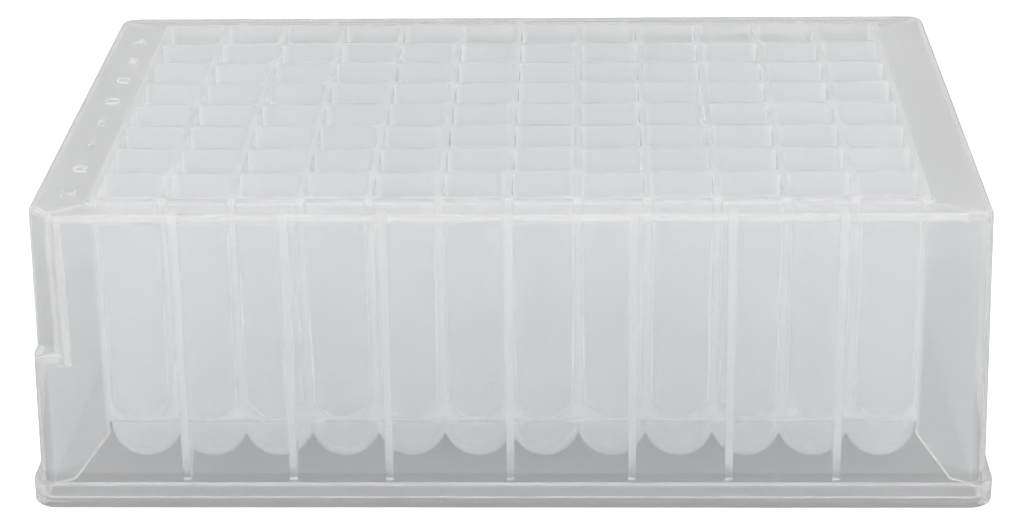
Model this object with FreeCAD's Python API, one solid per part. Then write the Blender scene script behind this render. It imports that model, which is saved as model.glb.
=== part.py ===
"""Deep-well plate: 96 square wells with round bottoms, moulded in one piece.

Frame: the origin lies on the resting plane under the centre of the plate. X runs along
the rows of twelve wells, Y along the columns of eight with row A at the back (+Y), and
Z points up. All sizes are in millimetres.
"""
import FreeCAD, Part
import math
import os

V = FreeCAD.Vector

# grid of wells
COLUMNS = 12
ROWS = 8
PITCH = 9.0                # centre to centre, both ways

# one well, from the rim down
WELL_WALL = 0.8            # between two neighbouring mouths, and round the outside of the block
WELL_CORNER = 0.9          # rounding of the four upright corners
WELL_DRAFT = 0.25          # degrees that each flat leans in, so that the core lets go
CONE_ANGLE = 30.0          # degrees from upright, where the square turns into the round
CUP_STEP = 0.2             # the round bottom lies this far inside the flats
CUP_WALL = 0.9             # thickness of the round bottom
CUP_COLLAR = 2.15          # upright stretch of the round bottom, up to the block

# heights above the resting plane
CUP_UNDERSIDE = 3.0        # lowest point of the round bottoms
DECK_HEIGHT = 41.4         # flat margin round the wells
DECK_THICKNESS = 1.2
FIELD_RISE = 0.4           # the field of wells stands this far above the margin

# block of wells
BLOCK_CORNER = 0.8
END_LIP = 0.5              # the raised field reaches past the block by this much at the ends
SIDE_LIP = 1.4             # and by this much along the sides
FIELD_CORNER = 1.3
FIELD_EDGE = 0.2           # rounding of the field's top edge

# foot: the rim that robots and trays grip
FOOT_LENGTH = 127.76
FOOT_WIDTH = 85.48
FOOT_HEIGHT = 3.4
FOOT_CORNER = 3.3
FOOT_WALL = 1.2
FOOT_SHELF = 2.2           # thickness of the shelf between skirt and foot
FOOT_EDGE = 0.3            # rounding of the ledge's outer edge
FOOT_SOLE_EDGE = 0.4       # rounding of the edge at the resting plane
LEAD_IN_WIDTH = 0.4        # the mouth of the foot is this much wider than its recess
LEAD_IN_LIP = 0.4          # upright stretch of the mouth
LEAD_IN_HEIGHT = 0.8       # top of the slope that leads from mouth to recess

# skirt: a drafted wall between the deck's edge and the foot
END_LEDGE = 0.98           # the foot stands out past each end wall
SIDE_LEDGE = 1.09          # and past each long wall
END_FLARE = 0.9            # each end wall leans out this far from deck to foot
SIDE_FLARE = 0.25          # and each long wall this far
SKIRT_WALL = 1.0
SKIRT_CORNER = 2.3
DECK_EDGE = 0.7            # rounding of the deck's outer edge

# orientation notch at the corner of well H1
NOTCH_LEG = 3.8
NOTCH_WALL = 1.3
NOTCH_LEDGE = 21.7         # height of the ledge where the notch stops
NOTCH_LEDGE_THICKNESS = 1.8
NOTCH_EDGE = 0.4           # rounding of the notch's upright edges and of its ledge

# stiffening ribs between block and long walls
RIB_OFFSETS = (0.0, 16.1, 28.9, 43.1)
RIB_UNDERSIDE = 3.4        # clears the deck of a plate stacked below
RIB_SEAT = 1.1             # flat stretch of each rib's lower edge, beside the skirt

# webs between the corners of skirt and block
WEB_UNDERSIDE = 2.7
WEB_SEAT = 3.4

# shared by ribs and webs
RIB_TOP_THICKNESS = 1.3
RIB_FOOT_THICKNESS = 1.0
RIB_DROP = 1.75            # each lower edge ends this far below the block's underside
RIB_BITE = 0.3             # each rib runs this far into the walls that it joins

# worked-out sizes
PLATE_HEIGHT = DECK_HEIGHT + FIELD_RISE
DECK_UNDERSIDE = DECK_HEIGHT - DECK_THICKNESS
WELL_OPENING = PITCH - WELL_WALL
CUP_INNER_RADIUS = WELL_OPENING / 2 - CUP_STEP
CUP_RADIUS = CUP_INNER_RADIUS + CUP_WALL
CUP_CENTRE = CUP_UNDERSIDE + CUP_RADIUS
BLOCK_UNDERSIDE = CUP_CENTRE + CUP_COLLAR
BLOCK_HALF = ((COLUMNS - 1) * PITCH / 2 + WELL_OPENING / 2 + WELL_WALL,
              (ROWS - 1) * PITCH / 2 + WELL_OPENING / 2 + WELL_WALL)
FIELD_HALF = (BLOCK_HALF[0] + END_LIP, BLOCK_HALF[1] + SIDE_LIP)
FOOT_HALF = (FOOT_LENGTH / 2, FOOT_WIDTH / 2)
DECK_HALF = (FOOT_HALF[0] - END_LEDGE - END_FLARE, FOOT_HALF[1] - SIDE_LEDGE - SIDE_FLARE)
OVERRUN = 1.0              # cutters reach this far past what they cut


def grow(half, amount):
    """Half sizes (x, y), both changed by the same amount."""
    return half[0] + amount, half[1] + amount


def well_centres():
    """Centres of the wells, row by row from the back."""
    for row in range(ROWS):
        for column in range(COLUMNS):
            x = (column - (COLUMNS - 1) / 2) * PITCH
            y = ((ROWS - 1) / 2 - row) * PITCH
            yield x, y


def tapered_block(low_half, high_half, low_z, high_z):
    """Block centred on the Z axis, with one half size below and another above."""
    wedge = Part.makeWedge(-low_half[0], low_z, -low_half[1], -high_half[1], -high_half[0],
                           low_half[0], high_z, low_half[1], high_half[1], high_half[0])
    wedge.rotate(V(0, 0, 0), V(1, 0, 0), 90)
    return wedge


def straight_block(half, low_z, high_z):
    """Upright block centred on the Z axis."""
    return tapered_block(half, half, low_z, high_z)


def rises(edge):
    """True for an edge that climbs from one height to another."""
    return abs(edge.Vertexes[0].Z - edge.Vertexes[-1].Z) > 0.01


def lies_at(edge, height):
    """True for an edge that lies flat at one height."""
    box = edge.BoundBox
    return abs(box.ZMin - height) < 0.01 and abs(box.ZMax - height) < 0.01


def round_uprights(solid, radius):
    """Round the upright edges of a block."""
    return solid.makeFillet(radius, [edge for edge in solid.Edges if rises(edge)])


def skirt_half(height):
    """Outer half sizes of the drafted skirt at a height."""
    drop = (DECK_HEIGHT - height) / (DECK_HEIGHT - FOOT_HEIGHT)
    return DECK_HALF[0] + END_FLARE * drop, DECK_HALF[1] + SIDE_FLARE * drop


def corner_prism(inset, low_z, high_z):
    """Prism over the H1 corner, bounded by the notch's 45 degree face moved inwards."""
    x, y = DECK_HALF
    leg = NOTCH_LEG + inset * math.sqrt(2)
    reach = OVERRUN + END_FLARE
    outline = [V(-x + leg + reach, -y - reach, low_z),
               V(-x - reach, -y + leg + reach, low_z),
               V(-x - reach, -y - reach, low_z)]
    face = Part.Face(Part.makePolygon(outline + outline[:1]))
    return face.extrude(V(0, 0, high_z - low_z))


def beyond_notch(point):
    """Distance of a point from the notch's 45 degree face, towards the corner."""
    return (NOTCH_LEG - DECK_HALF[0] - DECK_HALF[1] - point.x - point.y) / math.sqrt(2)


def notch_edges(body):
    """Upright edges of the notch's face, and the outer edges of its ledge."""
    uprights = [edge for edge in body.Edges
                if rises(edge) and abs(beyond_notch(edge.CenterOfMass)) < 0.01]
    rim = [edge for edge in body.Edges
           if lies_at(edge, NOTCH_LEDGE) and beyond_notch(edge.CenterOfMass) > 0.01]
    return uprights + rim


def skirt_outside():
    """Outer form of skirt and deck, with the notch and the rounded edges."""
    body = tapered_block(skirt_half(0), DECK_HALF, 0, DECK_HEIGHT)
    body = round_uprights(body, SKIRT_CORNER)
    body = body.cut(corner_prism(0, NOTCH_LEDGE, DECK_HEIGHT + OVERRUN))
    body = body.makeFillet(NOTCH_EDGE, notch_edges(body))
    deck_edges = [edge for edge in body.Edges if lies_at(edge, DECK_HEIGHT)]
    return body.makeFillet(DECK_EDGE, deck_edges)


def skirt_hollow():
    """Space under the deck, kept away from the notch by the notch's own walls."""
    low = grow(skirt_half(0), -SKIRT_WALL)
    high = grow(skirt_half(DECK_UNDERSIDE), -SKIRT_WALL)
    hollow = tapered_block(low, high, 0, DECK_UNDERSIDE)
    hollow = round_uprights(hollow, SKIRT_CORNER - SKIRT_WALL)
    ledge_underside = NOTCH_LEDGE - NOTCH_LEDGE_THICKNESS
    return hollow.cut(corner_prism(NOTCH_WALL, ledge_underside, DECK_HEIGHT))


def foot():
    """Foot rim with its small rounded edges, still solid."""
    rim = round_uprights(straight_block(FOOT_HALF, 0, FOOT_HEIGHT), FOOT_CORNER)
    rim = rim.makeFillet(FOOT_EDGE, [edge for edge in rim.Edges if lies_at(edge, FOOT_HEIGHT)])
    return rim.makeFillet(FOOT_SOLE_EDGE, [edge for edge in rim.Edges if lies_at(edge, 0)])


def foot_recess():
    """Recess in the underside that drops over the deck of a plate below."""
    half = grow(FOOT_HALF, -FOOT_WALL)
    mouth_half = grow(half, LEAD_IN_WIDTH)
    corner = FOOT_CORNER - FOOT_WALL
    recess = round_uprights(straight_block(half, 0, FOOT_HEIGHT - FOOT_SHELF), corner)
    mouth = round_uprights(straight_block(mouth_half, 0, LEAD_IN_LIP), corner)
    slope = round_uprights(tapered_block(mouth_half, half, LEAD_IN_LIP, LEAD_IN_HEIGHT), corner)
    return recess.fuse([mouth, slope])


def shell():
    """Deck, skirt and foot: everything but the wells and the ribs."""
    outside = skirt_outside().fuse(foot())
    return outside.cut([skirt_hollow(), foot_recess()])


def block_of_wells():
    """Block that holds the wells, with the raised field on top, still solid."""
    block = round_uprights(straight_block(BLOCK_HALF, BLOCK_UNDERSIDE, DECK_HEIGHT), BLOCK_CORNER)
    field = round_uprights(straight_block(FIELD_HALF, DECK_UNDERSIDE, PLATE_HEIGHT), FIELD_CORNER)
    top = [edge for edge in field.Edges if lies_at(edge, PLATE_HEIGHT)]
    return block.fuse(field.makeFillet(FIELD_EDGE, top))


def revolved(profile):
    """Solid turned about the Z axis from a closed outline in the XZ plane."""
    return Part.Face(Part.Wire(profile)).revolve(V(0, 0, 0), V(0, 0, 1), 360)


def bowl_profile(radius, centre_z, rim):
    """Closed outline of a round bottom that carries on up through the points in rim."""
    lowest = V(0, 0, centre_z - radius)
    middle = V(radius * math.sqrt(0.5), 0, centre_z - radius * math.sqrt(0.5))
    equator = V(radius, 0, centre_z)
    arc = Part.Arc(lowest, middle, equator).toShape()
    points = [equator] + rim + [V(0, 0, rim[-1].z), lowest]
    sides = [Part.LineSegment(a, b).toShape() for a, b in zip(points, points[1:])]
    return [arc] + sides


def cup():
    """Round bottom of one well from outside, up into the block."""
    rim = [V(CUP_RADIUS, 0, BLOCK_UNDERSIDE + OVERRUN)]
    return revolved(bowl_profile(CUP_RADIUS, CUP_CENTRE, rim))


def well_cavity():
    """Inside of one well: a drafted square shaft that a cone turns into a round bottom."""
    mouth = WELL_OPENING / 2
    lean = math.tan(math.radians(WELL_DRAFT))
    top_z = PLATE_HEIGHT + OVERRUN
    low = mouth - (PLATE_HEIGHT - CUP_UNDERSIDE) * lean
    high = mouth + OVERRUN * lean
    shaft = tapered_block((low, low), (high, high), CUP_UNDERSIDE, top_z)
    shaft = round_uprights(shaft, WELL_CORNER)
    widest = high * math.sqrt(2)
    cone_start = BLOCK_UNDERSIDE + CUP_WALL / 4
    cone_height = (widest - CUP_INNER_RADIUS) / math.tan(math.radians(CONE_ANGLE))
    rim = [V(CUP_INNER_RADIUS, 0, cone_start),
           V(widest, 0, cone_start + cone_height),
           V(widest, 0, top_z + OVERRUN)]
    return shaft.common(revolved(bowl_profile(CUP_INNER_RADIUS, CUP_CENTRE, rim)))


def at_every_well(solid):
    """Copies of a solid, one at each well."""
    return [solid.translated(V(x, y, 0)) for x, y in well_centres()]


def rib(length, underside, seat):
    """Rib along +X from the block's wall, with its lower edge climbing towards the block.

    It is thickest under the deck, and flat below for the length of its seat at the skirt."""
    start = -RIB_BITE
    end = length + RIB_BITE
    top = DECK_UNDERSIDE + RIB_BITE
    root = BLOCK_UNDERSIDE + RIB_BITE
    outline = [V(start, 0, top), V(end, 0, top), V(end, 0, underside),
               V(length - seat, 0, underside), V(0, 0, BLOCK_UNDERSIDE - RIB_DROP),
               V(0, 0, root), V(start, 0, root)]
    side = Part.Face(Part.makePolygon(outline + outline[:1]))
    side.translate(V(0, -RIB_TOP_THICKNESS, 0))
    plate = side.extrude(V(0, 2 * RIB_TOP_THICKNESS, 0))
    low = (end + OVERRUN, RIB_FOOT_THICKNESS / 2)
    high = (end + OVERRUN, RIB_TOP_THICKNESS / 2)
    return plate.common(tapered_block(low, high, underside, top))


def placed(piece, x, y, angle):
    """A rib turned about the Z axis and then moved to its start on the block."""
    piece.rotate(V(0, 0, 0), V(0, 0, 1), angle)
    piece.translate(V(x, y, 0))
    return piece


def rib_envelope():
    """Space that ribs and webs may fill: as far as the middle of the walls they join."""
    inset = -SKIRT_WALL / 2
    low, high = grow(skirt_half(0), inset), grow(DECK_HALF, inset)
    envelope = tapered_block(low, high, 0, DECK_HEIGHT)
    envelope = round_uprights(envelope, SKIRT_CORNER + inset)
    ledge_middle = NOTCH_LEDGE - NOTCH_LEDGE_THICKNESS / 2
    return envelope.cut(corner_prism(NOTCH_WALL / 2, ledge_middle, DECK_HEIGHT + OVERRUN))


def side_ribs():
    """Ribs to the two long walls."""
    gap = skirt_half(RIB_UNDERSIDE)[1] - SKIRT_WALL - BLOCK_HALF[1]
    offsets = sorted({sign * x for x in RIB_OFFSETS for sign in (-1, 1)})
    return [placed(rib(gap, RIB_UNDERSIDE, RIB_SEAT), x, side * BLOCK_HALF[1], side * 90)
            for x in offsets for side in (-1, 1)]


def corner_webs():
    """Webs from the block's corners to the skirt's corners."""
    start = grow(BLOCK_HALF, -BLOCK_CORNER / 2)
    corner = grow(skirt_half(WEB_UNDERSIDE), -SKIRT_WALL)
    run = (corner[0] - start[0], corner[1] - start[1])
    length = math.hypot(*run) - (SKIRT_CORNER - SKIRT_WALL) * (math.sqrt(2) - 1)
    lean = math.degrees(math.atan2(run[1], run[0]))
    return [placed(rib(length, WEB_UNDERSIDE, WEB_SEAT), side * start[0], sign * start[1],
                   90 - side * 90 + side * sign * lean)
            for side in (-1, 1) for sign in (-1, 1)]


def well_plate():
    """The whole plate as one solid."""
    envelope = rib_envelope()
    ribs = [piece.common(envelope) for piece in side_ribs() + corner_webs()]
    body = shell().multiFuse([block_of_wells()] + at_every_well(cup()) + ribs)
    return body.cut(at_every_well(well_cavity())).removeSplitter()


os.makedirs("parts", exist_ok=True)
well_plate().exportStep("parts/well_plate.step")
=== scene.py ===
import math

import bmesh
import bpy
from mathutils import Matrix, Vector


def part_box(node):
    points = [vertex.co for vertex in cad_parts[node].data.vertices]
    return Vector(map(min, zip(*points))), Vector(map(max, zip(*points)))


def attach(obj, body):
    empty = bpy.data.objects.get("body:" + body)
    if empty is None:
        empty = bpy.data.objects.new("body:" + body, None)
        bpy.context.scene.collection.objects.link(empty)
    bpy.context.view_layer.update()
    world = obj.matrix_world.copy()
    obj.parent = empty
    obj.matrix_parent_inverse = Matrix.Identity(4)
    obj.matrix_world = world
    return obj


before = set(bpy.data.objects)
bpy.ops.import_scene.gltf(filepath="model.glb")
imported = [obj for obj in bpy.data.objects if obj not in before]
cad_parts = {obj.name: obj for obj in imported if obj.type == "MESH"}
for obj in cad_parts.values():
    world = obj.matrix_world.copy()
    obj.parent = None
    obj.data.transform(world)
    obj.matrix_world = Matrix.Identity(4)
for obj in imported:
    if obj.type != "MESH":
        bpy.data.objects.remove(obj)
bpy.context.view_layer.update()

# Lengths are in metres, angles in degrees and scattering densities in 1/m.

# Camera
CAMERA_PLACE = (0.009968, -0.358388, 0.169243)
CAMERA_PITCH = 22.953  # down from level
CAMERA_YAW = -1.70
CAMERA_ROLL = -0.768
CAMERA_LENS = 94.498  # mm, on a sensor of SENSOR_WIDTH mm
SENSOR_WIDTH = 36
CLIP_START = 0.01
CLIP_END = 50

# Light: the strength of each part, and the power of the cosine by which two of them fade
ROOM_LIGHT = 0.5
OVERHEAD_LIGHT = 0.4
OVERHEAD_FOCUS = 2.0
FRONT_LIGHT = 0.85
FRONT_FOCUS = 2.0
FRONT_RISE = 25  # of the front light above level
SEEN_LIGHT = 1.0  # the room as gloss and clear walls show it

# Floor
FLOOR_HALF = 3.0
FLOOR_COLOUR = 0.7
FLOOR_PAINTED_SHADE = 0.42  # painted shade: the darker tone the floor takes as clear walls and gloss show it, standing in for the plate's shade on it
FLOOR_SEEN = 1.5  # as the camera sees it
ANY_SCATTER = 0.5  # a ray with fewer scatters than this has none

# Plastic: the surface
SURFACE_COLOUR = (0.9935, 0.997, 1.0, 1.0)
SURFACE_HAZE = 0.03  # share of the light that the surface itself scatters
GLOSS_IOR = 1.49
SKIRT_ROUGHNESS = 0.06
WELL_ROUGHNESS = 0.2
MOUTH_ROUGHNESS = 0.36

# Plastic: the milky body under it
BODY_COLOUR = (0.9985, 0.999, 0.9995, 1)
BODY_FORWARD = 0.3  # 0 scatters evenly, 1 straight on
SKIRT_DENSITY = 400.0
WELL_DENSITY = 800.0
FOOT_DENSITY = 200.0

# Where the block of wells, their mouths and the foot are
WELLS_FROM_END = 0.0094
WELLS_FROM_SIDE = 0.0063
WELL_SKIN = 0.0004  # the throats keep this far inside the block
RIM_DEPTH = 0.0016
MOUTH_DEPTH = 0.0035
MOUTH_FADE = 0.0005
FOOT_HEIGHT = 0.0046

# Traces of the mould: smears in the gloss, and low waves
NOISE_DETAIL = 0.0
SMEAR_SIZE = 0.004
SMEAR_STRETCH = 4.0
SMEAR_SHARE = 0.2
WAVE_SIZE = 0.003
WAVE_STRETCH = 3.0
WAVE_HEIGHT = 0.00002

# Raised row letters on the left margin
LETTERS = "ABCDEFGH"
PITCH = 0.009  # of the rows
MARGIN_DROP = 0.0004  # from the top of the rims to the margin
LETTER_FROM_END = 0.00643
LETTER_AHEAD = 0.0022  # in front of the middle of its row
LETTER_SIZE = 0.0032
LETTER_RISE = 0.00022
LETTER_SINK = 0.00004
LETTER_EDGE = 0.00004
LETTER_HAZE = 0.5
LETTER_ROUGHNESS = 0.36

# Bounces: light that leaves the block has scattered in it a very long way
MAX_BOUNCES = 1024
TRANSPARENT_BOUNCES = 128

scene = bpy.context.scene
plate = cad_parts["well_plate"]
low, high = (Vector(corner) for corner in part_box("well_plate"))


def place_camera():
    """A long lens in front of the plate and above it, looking down at it."""
    pitch, yaw, roll = (math.radians(turn) for turn in (CAMERA_PITCH, CAMERA_YAW, CAMERA_ROLL))
    flat = math.cos(pitch)
    ahead = Vector((math.sin(yaw) * flat, math.cos(yaw) * flat, -math.sin(pitch)))
    level = ahead.cross(Vector((0, 0, 1))).normalized()
    upright = level.cross(ahead)
    right = math.cos(roll) * level + math.sin(roll) * upright
    up = -math.sin(roll) * level + math.cos(roll) * upright
    data = bpy.data.cameras.new("camera")
    data.sensor_width = SENSOR_WIDTH
    data.lens = CAMERA_LENS
    data.clip_start = CLIP_START
    data.clip_end = CLIP_END
    camera = bpy.data.objects.new("camera", data)
    scene.collection.objects.link(camera)
    turn = Matrix((right, up, -ahead)).transposed()
    camera.matrix_world = Matrix.Translation(CAMERA_PLACE) @ turn.to_4x4()
    scene.camera = camera


def new_material(name):
    """An empty node material, its nodes, and a function that links two sockets."""
    material = bpy.data.materials.new(name)
    material.use_nodes = True
    material.node_tree.nodes.clear()
    return material, material.node_tree.nodes, material.node_tree.links.new


def maths(nodes, link, operation, first, second):
    """A math node's result from two sockets or numbers."""
    node = nodes.new("ShaderNodeMath")
    node.operation = operation
    for value, socket in ((first, node.inputs[0]), (second, node.inputs[1])):
        if isinstance(value, bpy.types.NodeSocket):
            link(value, socket)
        else:
            socket.default_value = value
    return node.outputs[0]


def seen_directly(nodes, link):
    """1 for a ray that has met only gloss and clear faces since the camera, and 0 for one that
    carries scattered light."""
    path = nodes.new("ShaderNodeLightPath")
    scatters = maths(nodes, link, "SUBTRACT", path.outputs["Ray Depth"],
                     path.outputs["Transmission Depth"])
    scatters = maths(nodes, link, "SUBTRACT", scatters, path.outputs["Glossy Depth"])
    return maths(nodes, link, "LESS_THAN", scatters, ANY_SCATTER)


def make_world():
    """A white room, lighter above and in front of the plate, which is seen as plain white."""
    world = bpy.data.worlds.new("room")
    world.use_nodes = True
    nodes, link = world.node_tree.nodes, world.node_tree.links.new
    nodes.clear()
    light, seen = nodes.new("ShaderNodeBackground"), nodes.new("ShaderNodeBackground")
    light.inputs["Color"].default_value = (1, 1, 1, 1)
    seen.inputs["Color"].default_value = (1, 1, 1, 1)
    seen.inputs["Strength"].default_value = SEEN_LIGHT
    direction, split = nodes.new("ShaderNodeTexCoord"), nodes.new("ShaderNodeSeparateXYZ")
    link(direction.outputs["Generated"], split.inputs[0])
    upward = maths(nodes, link, "MAXIMUM", split.outputs["Z"], 0.0)
    overhead = maths(nodes, link, "POWER", upward, OVERHEAD_FOCUS)
    overhead = maths(nodes, link, "MULTIPLY", overhead, OVERHEAD_LIGHT)
    facing = nodes.new("ShaderNodeVectorMath")
    facing.operation = "DOT_PRODUCT"
    rise = math.radians(FRONT_RISE)
    facing.inputs[1].default_value = (0, -math.cos(rise), math.sin(rise))
    link(direction.outputs["Generated"], facing.inputs[0])
    front = maths(nodes, link, "MAXIMUM", facing.outputs["Value"], 0.0)
    front = maths(nodes, link, "POWER", front, FRONT_FOCUS)
    front = maths(nodes, link, "MULTIPLY", front, FRONT_LIGHT)
    total = maths(nodes, link, "ADD", overhead, front)
    link(maths(nodes, link, "ADD", total, ROOM_LIGHT), light.inputs["Strength"])
    choice, output = nodes.new("ShaderNodeMixShader"), nodes.new("ShaderNodeOutputWorld")
    link(seen_directly(nodes, link), choice.inputs[0])
    link(light.outputs[0], choice.inputs[1])
    link(seen.outputs[0], choice.inputs[2])
    link(choice.outputs[0], output.inputs[0])
    world.cycles.sampling_method = "NONE"
    scene.world = world


def make_floor():
    """A wide pale sheet that keeps the plate's shadow and is seen as white where none falls. Behind
    clear walls and in gloss it takes a darker tone, painted shade under the plate.
    """
    mesh = bpy.data.meshes.new("floor")
    corners = [(x * FLOOR_HALF, y * FLOOR_HALF, 0) for x, y in ((-1, -1), (1, -1), (1, 1), (-1, 1))]
    mesh.from_pydata(corners, [], [(0, 1, 2, 3)])
    floor = bpy.data.objects.new("floor", mesh)
    scene.collection.objects.link(floor)
    material, nodes, link = new_material("floor")
    path = nodes.new("ShaderNodeLightPath")
    straight = maths(nodes, link, "MULTIPLY", path.outputs["Is Camera Ray"],
                     FLOOR_SEEN - FLOOR_PAINTED_SHADE)
    # painted shade: seen behind clear walls and in gloss, the floor is darker than its own colour
    painted_shade_behind_walls = maths(nodes, link, "MULTIPLY", seen_directly(nodes, link),
                    FLOOR_PAINTED_SHADE - FLOOR_COLOUR)
    tone = maths(nodes, link, "ADD", straight, painted_shade_behind_walls)
    tone = maths(nodes, link, "ADD", tone, FLOOR_COLOUR)
    colour = nodes.new("ShaderNodeCombineColor")
    for channel in colour.inputs:
        link(tone, channel)
    sheet, output = nodes.new("ShaderNodeBsdfDiffuse"), nodes.new("ShaderNodeOutputMaterial")
    link(colour.outputs[0], sheet.inputs["Color"])
    link(sheet.outputs[0], output.inputs[0])
    mesh.materials.append(material)


def inset_box(nodes, link, size, from_end, from_side):
    """1 where a place is this far in from the plate's ends and sides, and 0 nearer to them."""
    half = (high - low) / 2
    along = maths(nodes, link, "LESS_THAN", size.outputs["X"], half.x - from_end)
    across = maths(nodes, link, "LESS_THAN", size.outputs["Y"], half.y - from_side)
    return maths(nodes, link, "MULTIPLY", along, across)


def zones(nodes, link):
    """Three masks: the block of wells, the mouths of the wells at its top, and the foot."""
    place = nodes.new("ShaderNodeNewGeometry")
    height, size = nodes.new("ShaderNodeSeparateXYZ"), nodes.new("ShaderNodeSeparateXYZ")
    link(place.outputs["Position"], height.inputs[0])
    offset, positive = nodes.new("ShaderNodeVectorMath"), nodes.new("ShaderNodeVectorMath")
    offset.operation, positive.operation = "SUBTRACT", "ABSOLUTE"
    offset.inputs[1].default_value = (low + high) / 2
    link(place.outputs["Position"], offset.inputs[0])
    link(offset.outputs[0], positive.inputs[0])
    link(positive.outputs[0], size.inputs[0])
    block = inset_box(nodes, link, size, WELLS_FROM_END, WELLS_FROM_SIDE)
    shafts = inset_box(nodes, link, size, WELLS_FROM_END + WELL_SKIN, WELLS_FROM_SIDE + WELL_SKIN)
    rims = maths(nodes, link, "GREATER_THAN", height.outputs["Z"], high.z - RIM_DEPTH)
    throats = nodes.new("ShaderNodeMapRange")
    throats.inputs["From Min"].default_value = high.z - MOUTH_DEPTH - MOUTH_FADE
    throats.inputs["From Max"].default_value = high.z - MOUTH_DEPTH
    link(height.outputs["Z"], throats.inputs["Value"])
    rims = maths(nodes, link, "MULTIPLY", rims, block)
    throats = maths(nodes, link, "MULTIPLY", throats.outputs[0], shafts)
    mouths = maths(nodes, link, "MAXIMUM", rims, throats)
    foot = maths(nodes, link, "LESS_THAN", height.outputs["Z"], low.z + FOOT_HEIGHT)
    return block, mouths, foot


def uneven(nodes, link, size, stretch):
    """Soft blotches from 0 to 1, of a size in metres, drawn out up and down as the melt flowed."""
    place, squeeze = nodes.new("ShaderNodeTexCoord"), nodes.new("ShaderNodeMapping")
    squeeze.inputs["Scale"].default_value = (1 / size, 1 / size, 1 / size / stretch)
    link(place.outputs["Object"], squeeze.inputs["Vector"])
    noise = nodes.new("ShaderNodeTexNoise")
    noise.inputs["Scale"].default_value = 1.0
    noise.inputs["Detail"].default_value = NOISE_DETAIL
    link(squeeze.outputs[0], noise.inputs["Vector"])
    return noise.outputs[0]


def by_zone(nodes, link, block, skirt_value, well_value):
    """One value in the skirt and another in the block of wells."""
    extra = maths(nodes, link, "MULTIPLY", block, well_value - skirt_value)
    return maths(nodes, link, "ADD", extra, skirt_value)


def varied(nodes, link, value, blotches, share):
    """A value that blotches raise and lower by a share of itself."""
    swing = maths(nodes, link, "MULTIPLY", blotches, 2 * share)
    swing = maths(nodes, link, "ADD", swing, 1 - share)
    return maths(nodes, link, "MULTIPLY", value, swing)


def moulded_skin(nodes, link, rough, haze):
    """A clear, faintly tinted surface with smears in its gloss and low waves, as a mould leaves."""
    skin = nodes.new("ShaderNodeBsdfPrincipled")
    skin.inputs["Base Color"].default_value = SURFACE_COLOUR
    skin.inputs["IOR"].default_value = GLOSS_IOR
    skin.inputs["Transmission Weight"].default_value = 1 - haze
    smears = uneven(nodes, link, SMEAR_SIZE, SMEAR_STRETCH)
    link(varied(nodes, link, rough, smears, SMEAR_SHARE), skin.inputs["Roughness"])
    waves = nodes.new("ShaderNodeBump")
    waves.inputs["Distance"].default_value = WAVE_HEIGHT
    link(uneven(nodes, link, WAVE_SIZE, WAVE_STRETCH), waves.inputs["Height"])
    link(waves.outputs[0], skin.inputs["Normal"])
    return skin


def milky_plastic():
    """Natural polypropylene: its skin, round a milky body that scatters light along its depth."""
    material, nodes, link = new_material("natural_polypropylene")
    block, mouths, foot = zones(nodes, link)
    rough = by_zone(nodes, link, block, SKIRT_ROUGHNESS, WELL_ROUGHNESS)
    duller = maths(nodes, link, "MULTIPLY", mouths, MOUTH_ROUGHNESS - WELL_ROUGHNESS)
    skin = moulded_skin(nodes, link, maths(nodes, link, "ADD", rough, duller), SURFACE_HAZE)
    depth = nodes.new("ShaderNodeVolumeScatter")
    depth.inputs["Color"].default_value = BODY_COLOUR
    depth.inputs["Anisotropy"].default_value = BODY_FORWARD
    density = by_zone(nodes, link, block, SKIRT_DENSITY, WELL_DENSITY)
    clearer = maths(nodes, link, "MULTIPLY", foot, SKIRT_DENSITY - FOOT_DENSITY)
    link(maths(nodes, link, "SUBTRACT", density, clearer), depth.inputs["Density"])
    output = nodes.new("ShaderNodeOutputMaterial")
    link(skin.outputs[0], output.inputs["Surface"])
    link(depth.outputs[0], output.inputs["Volume"])
    return material


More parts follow.
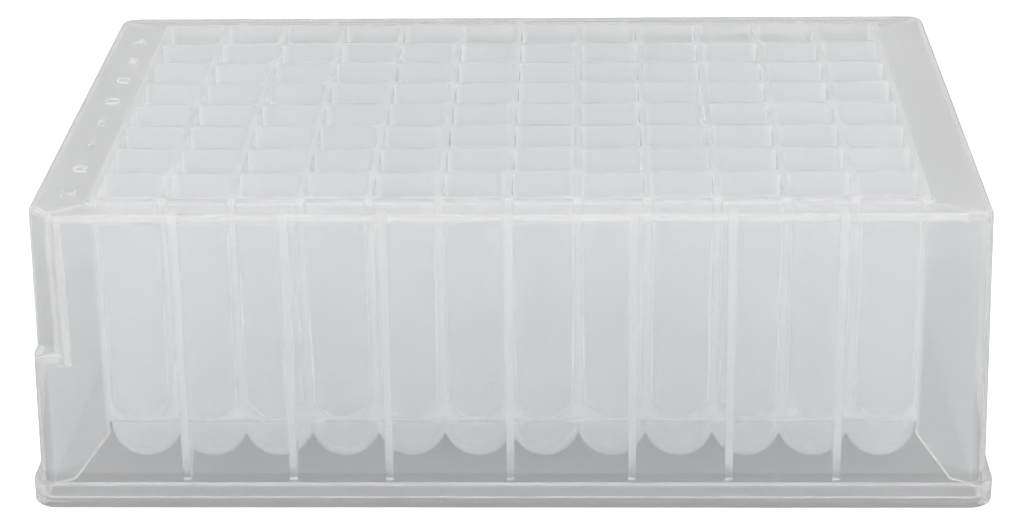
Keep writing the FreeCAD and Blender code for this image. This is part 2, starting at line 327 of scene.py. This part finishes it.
def raised_plastic():
    """The letters' own surface, which catches more light than the margin round them."""
    material, nodes, link = new_material("raised_polypropylene")
    skin = moulded_skin(nodes, link, LETTER_ROUGHNESS, LETTER_HAZE)
    output = nodes.new("ShaderNodeOutputMaterial")
    link(skin.outputs[0], output.inputs["Surface"])
    return material


def letter_mesh(character, place):
    """One raised character, centred over a place on the margin and sunk a little into it."""
    text = bpy.data.curves.new("letter", "FONT")
    text.body = character
    text.align_x, text.align_y = "CENTER", "CENTER"
    text.size = LETTER_SIZE
    text.extrude = (LETTER_RISE + LETTER_SINK) / 2 - LETTER_EDGE
    text.bevel_depth = LETTER_EDGE
    text.bevel_resolution = 1
    text.offset = -LETTER_EDGE
    letter = bpy.data.objects.new("letter", text)
    scene.collection.objects.link(letter)
    shown = letter.evaluated_get(bpy.context.evaluated_depsgraph_get())
    mesh = bpy.data.meshes.new_from_object(shown)
    mesh.transform(Matrix.Translation(place))
    bpy.data.objects.remove(letter)
    bpy.data.curves.remove(text)
    return mesh


def row_letters():
    """Letters down the left margin, one a little in front of the middle of each row."""
    joined = bmesh.new()
    z = high.z - MARGIN_DROP + (LETTER_RISE - LETTER_SINK) / 2
    middle = (len(LETTERS) - 1) / 2
    for row, character in enumerate(LETTERS):
        y = (low.y + high.y) / 2 + (middle - row) * PITCH - LETTER_AHEAD
        mesh = letter_mesh(character, (low.x + LETTER_FROM_END, y, z))
        joined.from_mesh(mesh)
        bpy.data.meshes.remove(mesh)
    mesh = bpy.data.meshes.new("row_letters")
    joined.to_mesh(mesh)
    joined.free()
    letters = bpy.data.objects.new("row_letters", mesh)
    scene.collection.objects.link(letters)
    mesh.materials.append(raised_plastic())
    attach(letters, "root")


place_camera()
make_world()
make_floor()
plate.data.materials.clear()
plate.data.materials.append(milky_plastic())
row_letters()

scene.view_settings.view_transform = "Standard"
scene.cycles.transparent_max_bounces = TRANSPARENT_BOUNCES
scene.cycles.max_bounces = MAX_BOUNCES
scene.cycles.diffuse_bounces = MAX_BOUNCES
scene.cycles.volume_bounces = MAX_BOUNCES
scene.cycles.transmission_bounces = MAX_BOUNCES
scene.cycles.glossy_bounces = MAX_BOUNCES
scene.cycles.blur_glossy = 0.0
scene.cycles.caustics_refractive = True
scene.cycles.caustics_reflective = True
